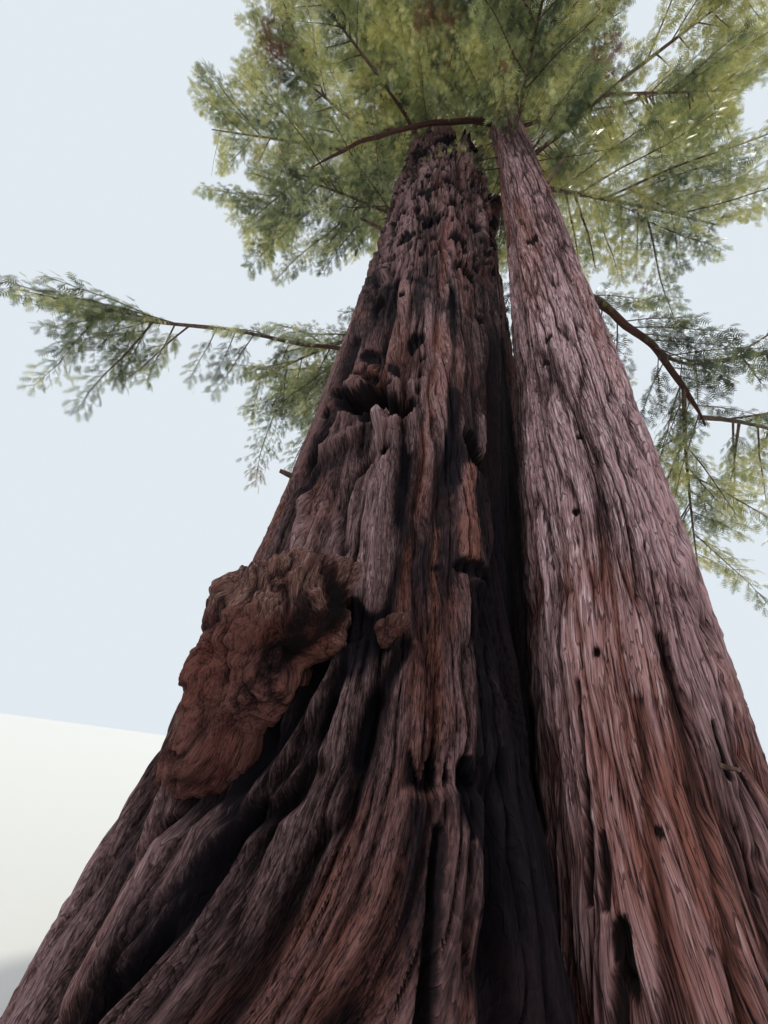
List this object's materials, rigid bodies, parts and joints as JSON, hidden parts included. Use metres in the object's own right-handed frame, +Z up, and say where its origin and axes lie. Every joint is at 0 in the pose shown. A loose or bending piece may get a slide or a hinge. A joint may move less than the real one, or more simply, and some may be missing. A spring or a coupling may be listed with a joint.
{
  "type": "coast redwood tree",
  "caption": "Tall old conifer with a burled, fire-scarred, broken-shouldered trunk and a younger stem rising beside it from one root, with open drooping crowns.",
  "frame": {"origin": "middle of the old trunk's flat cut at ground level", "axes": "+Z up along the old trunk; -Y towards the side with the burl, which is the side seen in the picture; +X to the right of that view, where the young stem stands"},
  "size_m": [13.838, 11.2619, 39.9081],
  "materials": {
    "old_bark": "dark, charred, fibrous bark",
    "young_bark": "grey-pink fibrous bark in long strips",
    "burl_bark": "swirling, knobbly bark",
    "bough_bark": "rough brown bark",
    "needles": "soft, slightly waxy green needles"
  },
  "bodies": {
    "root": {"old_trunk": "old_bark", "young_stem": "young_bark", "burl": "burl_bark", "small_burl": "burl_bark", "snapped_limb": "old_bark", "low_right_bough": "bough_bark", "low_right_side_bough": "bough_bark", "crossing_bough": "bough_bark", "crossing_side_bough": "bough_bark", "rising_right_bough": "bough_bark", "upper_right_bough": "bough_bark", "lone_left_bough": "bough_bark", "back_left_bough": "bough_bark", "back_right_bough": "bough_bark", "leader_left_bough": "bough_bark", "low_right_foliage": "needles", "hanging_foliage": "needles", "low_right_side_foliage": "needles", "crossing_foliage": "needles", "crossing_side_foliage": "needles", "crossing_end_foliage": "needles", "rising_right_foliage": "needles", "rising_side_foliage": "needles", "upper_right_foliage": "needles", "lone_left_foliage": "needles", "back_left_foliage": "needles", "back_right_foliage": "needles", "leader_left_foliage": "needles", "old_left_low_foliage": "needles", "old_left_mid_foliage": "needles", "leader_front_foliage": "needles", "leader_crown_1": "needles", "leader_crown_2": "needles", "leader_crown_3": "needles", "leader_crown_4": "needles", "leader_crown_5": "needles", "leader_crown_6": "needles", "leader_crown_7": "needles", "leader_crown_8": "needles", "leader_crown_9": "needles", "leader_crown_10": "needles", "leader_crown_11": "needles", "leader_crown_top": "needles", "young_crown_1": "needles", "young_crown_2": "needles", "young_crown_3": "needles", "young_crown_4": "needles", "young_crown_5": "needles", "young_crown_6": "needles", "young_crown_7": "needles", "young_crown_8": "needles", "young_crown_9": "needles", "young_crown_10": "needles", "young_crown_top": "needles"}
  },
  "joints": []
}
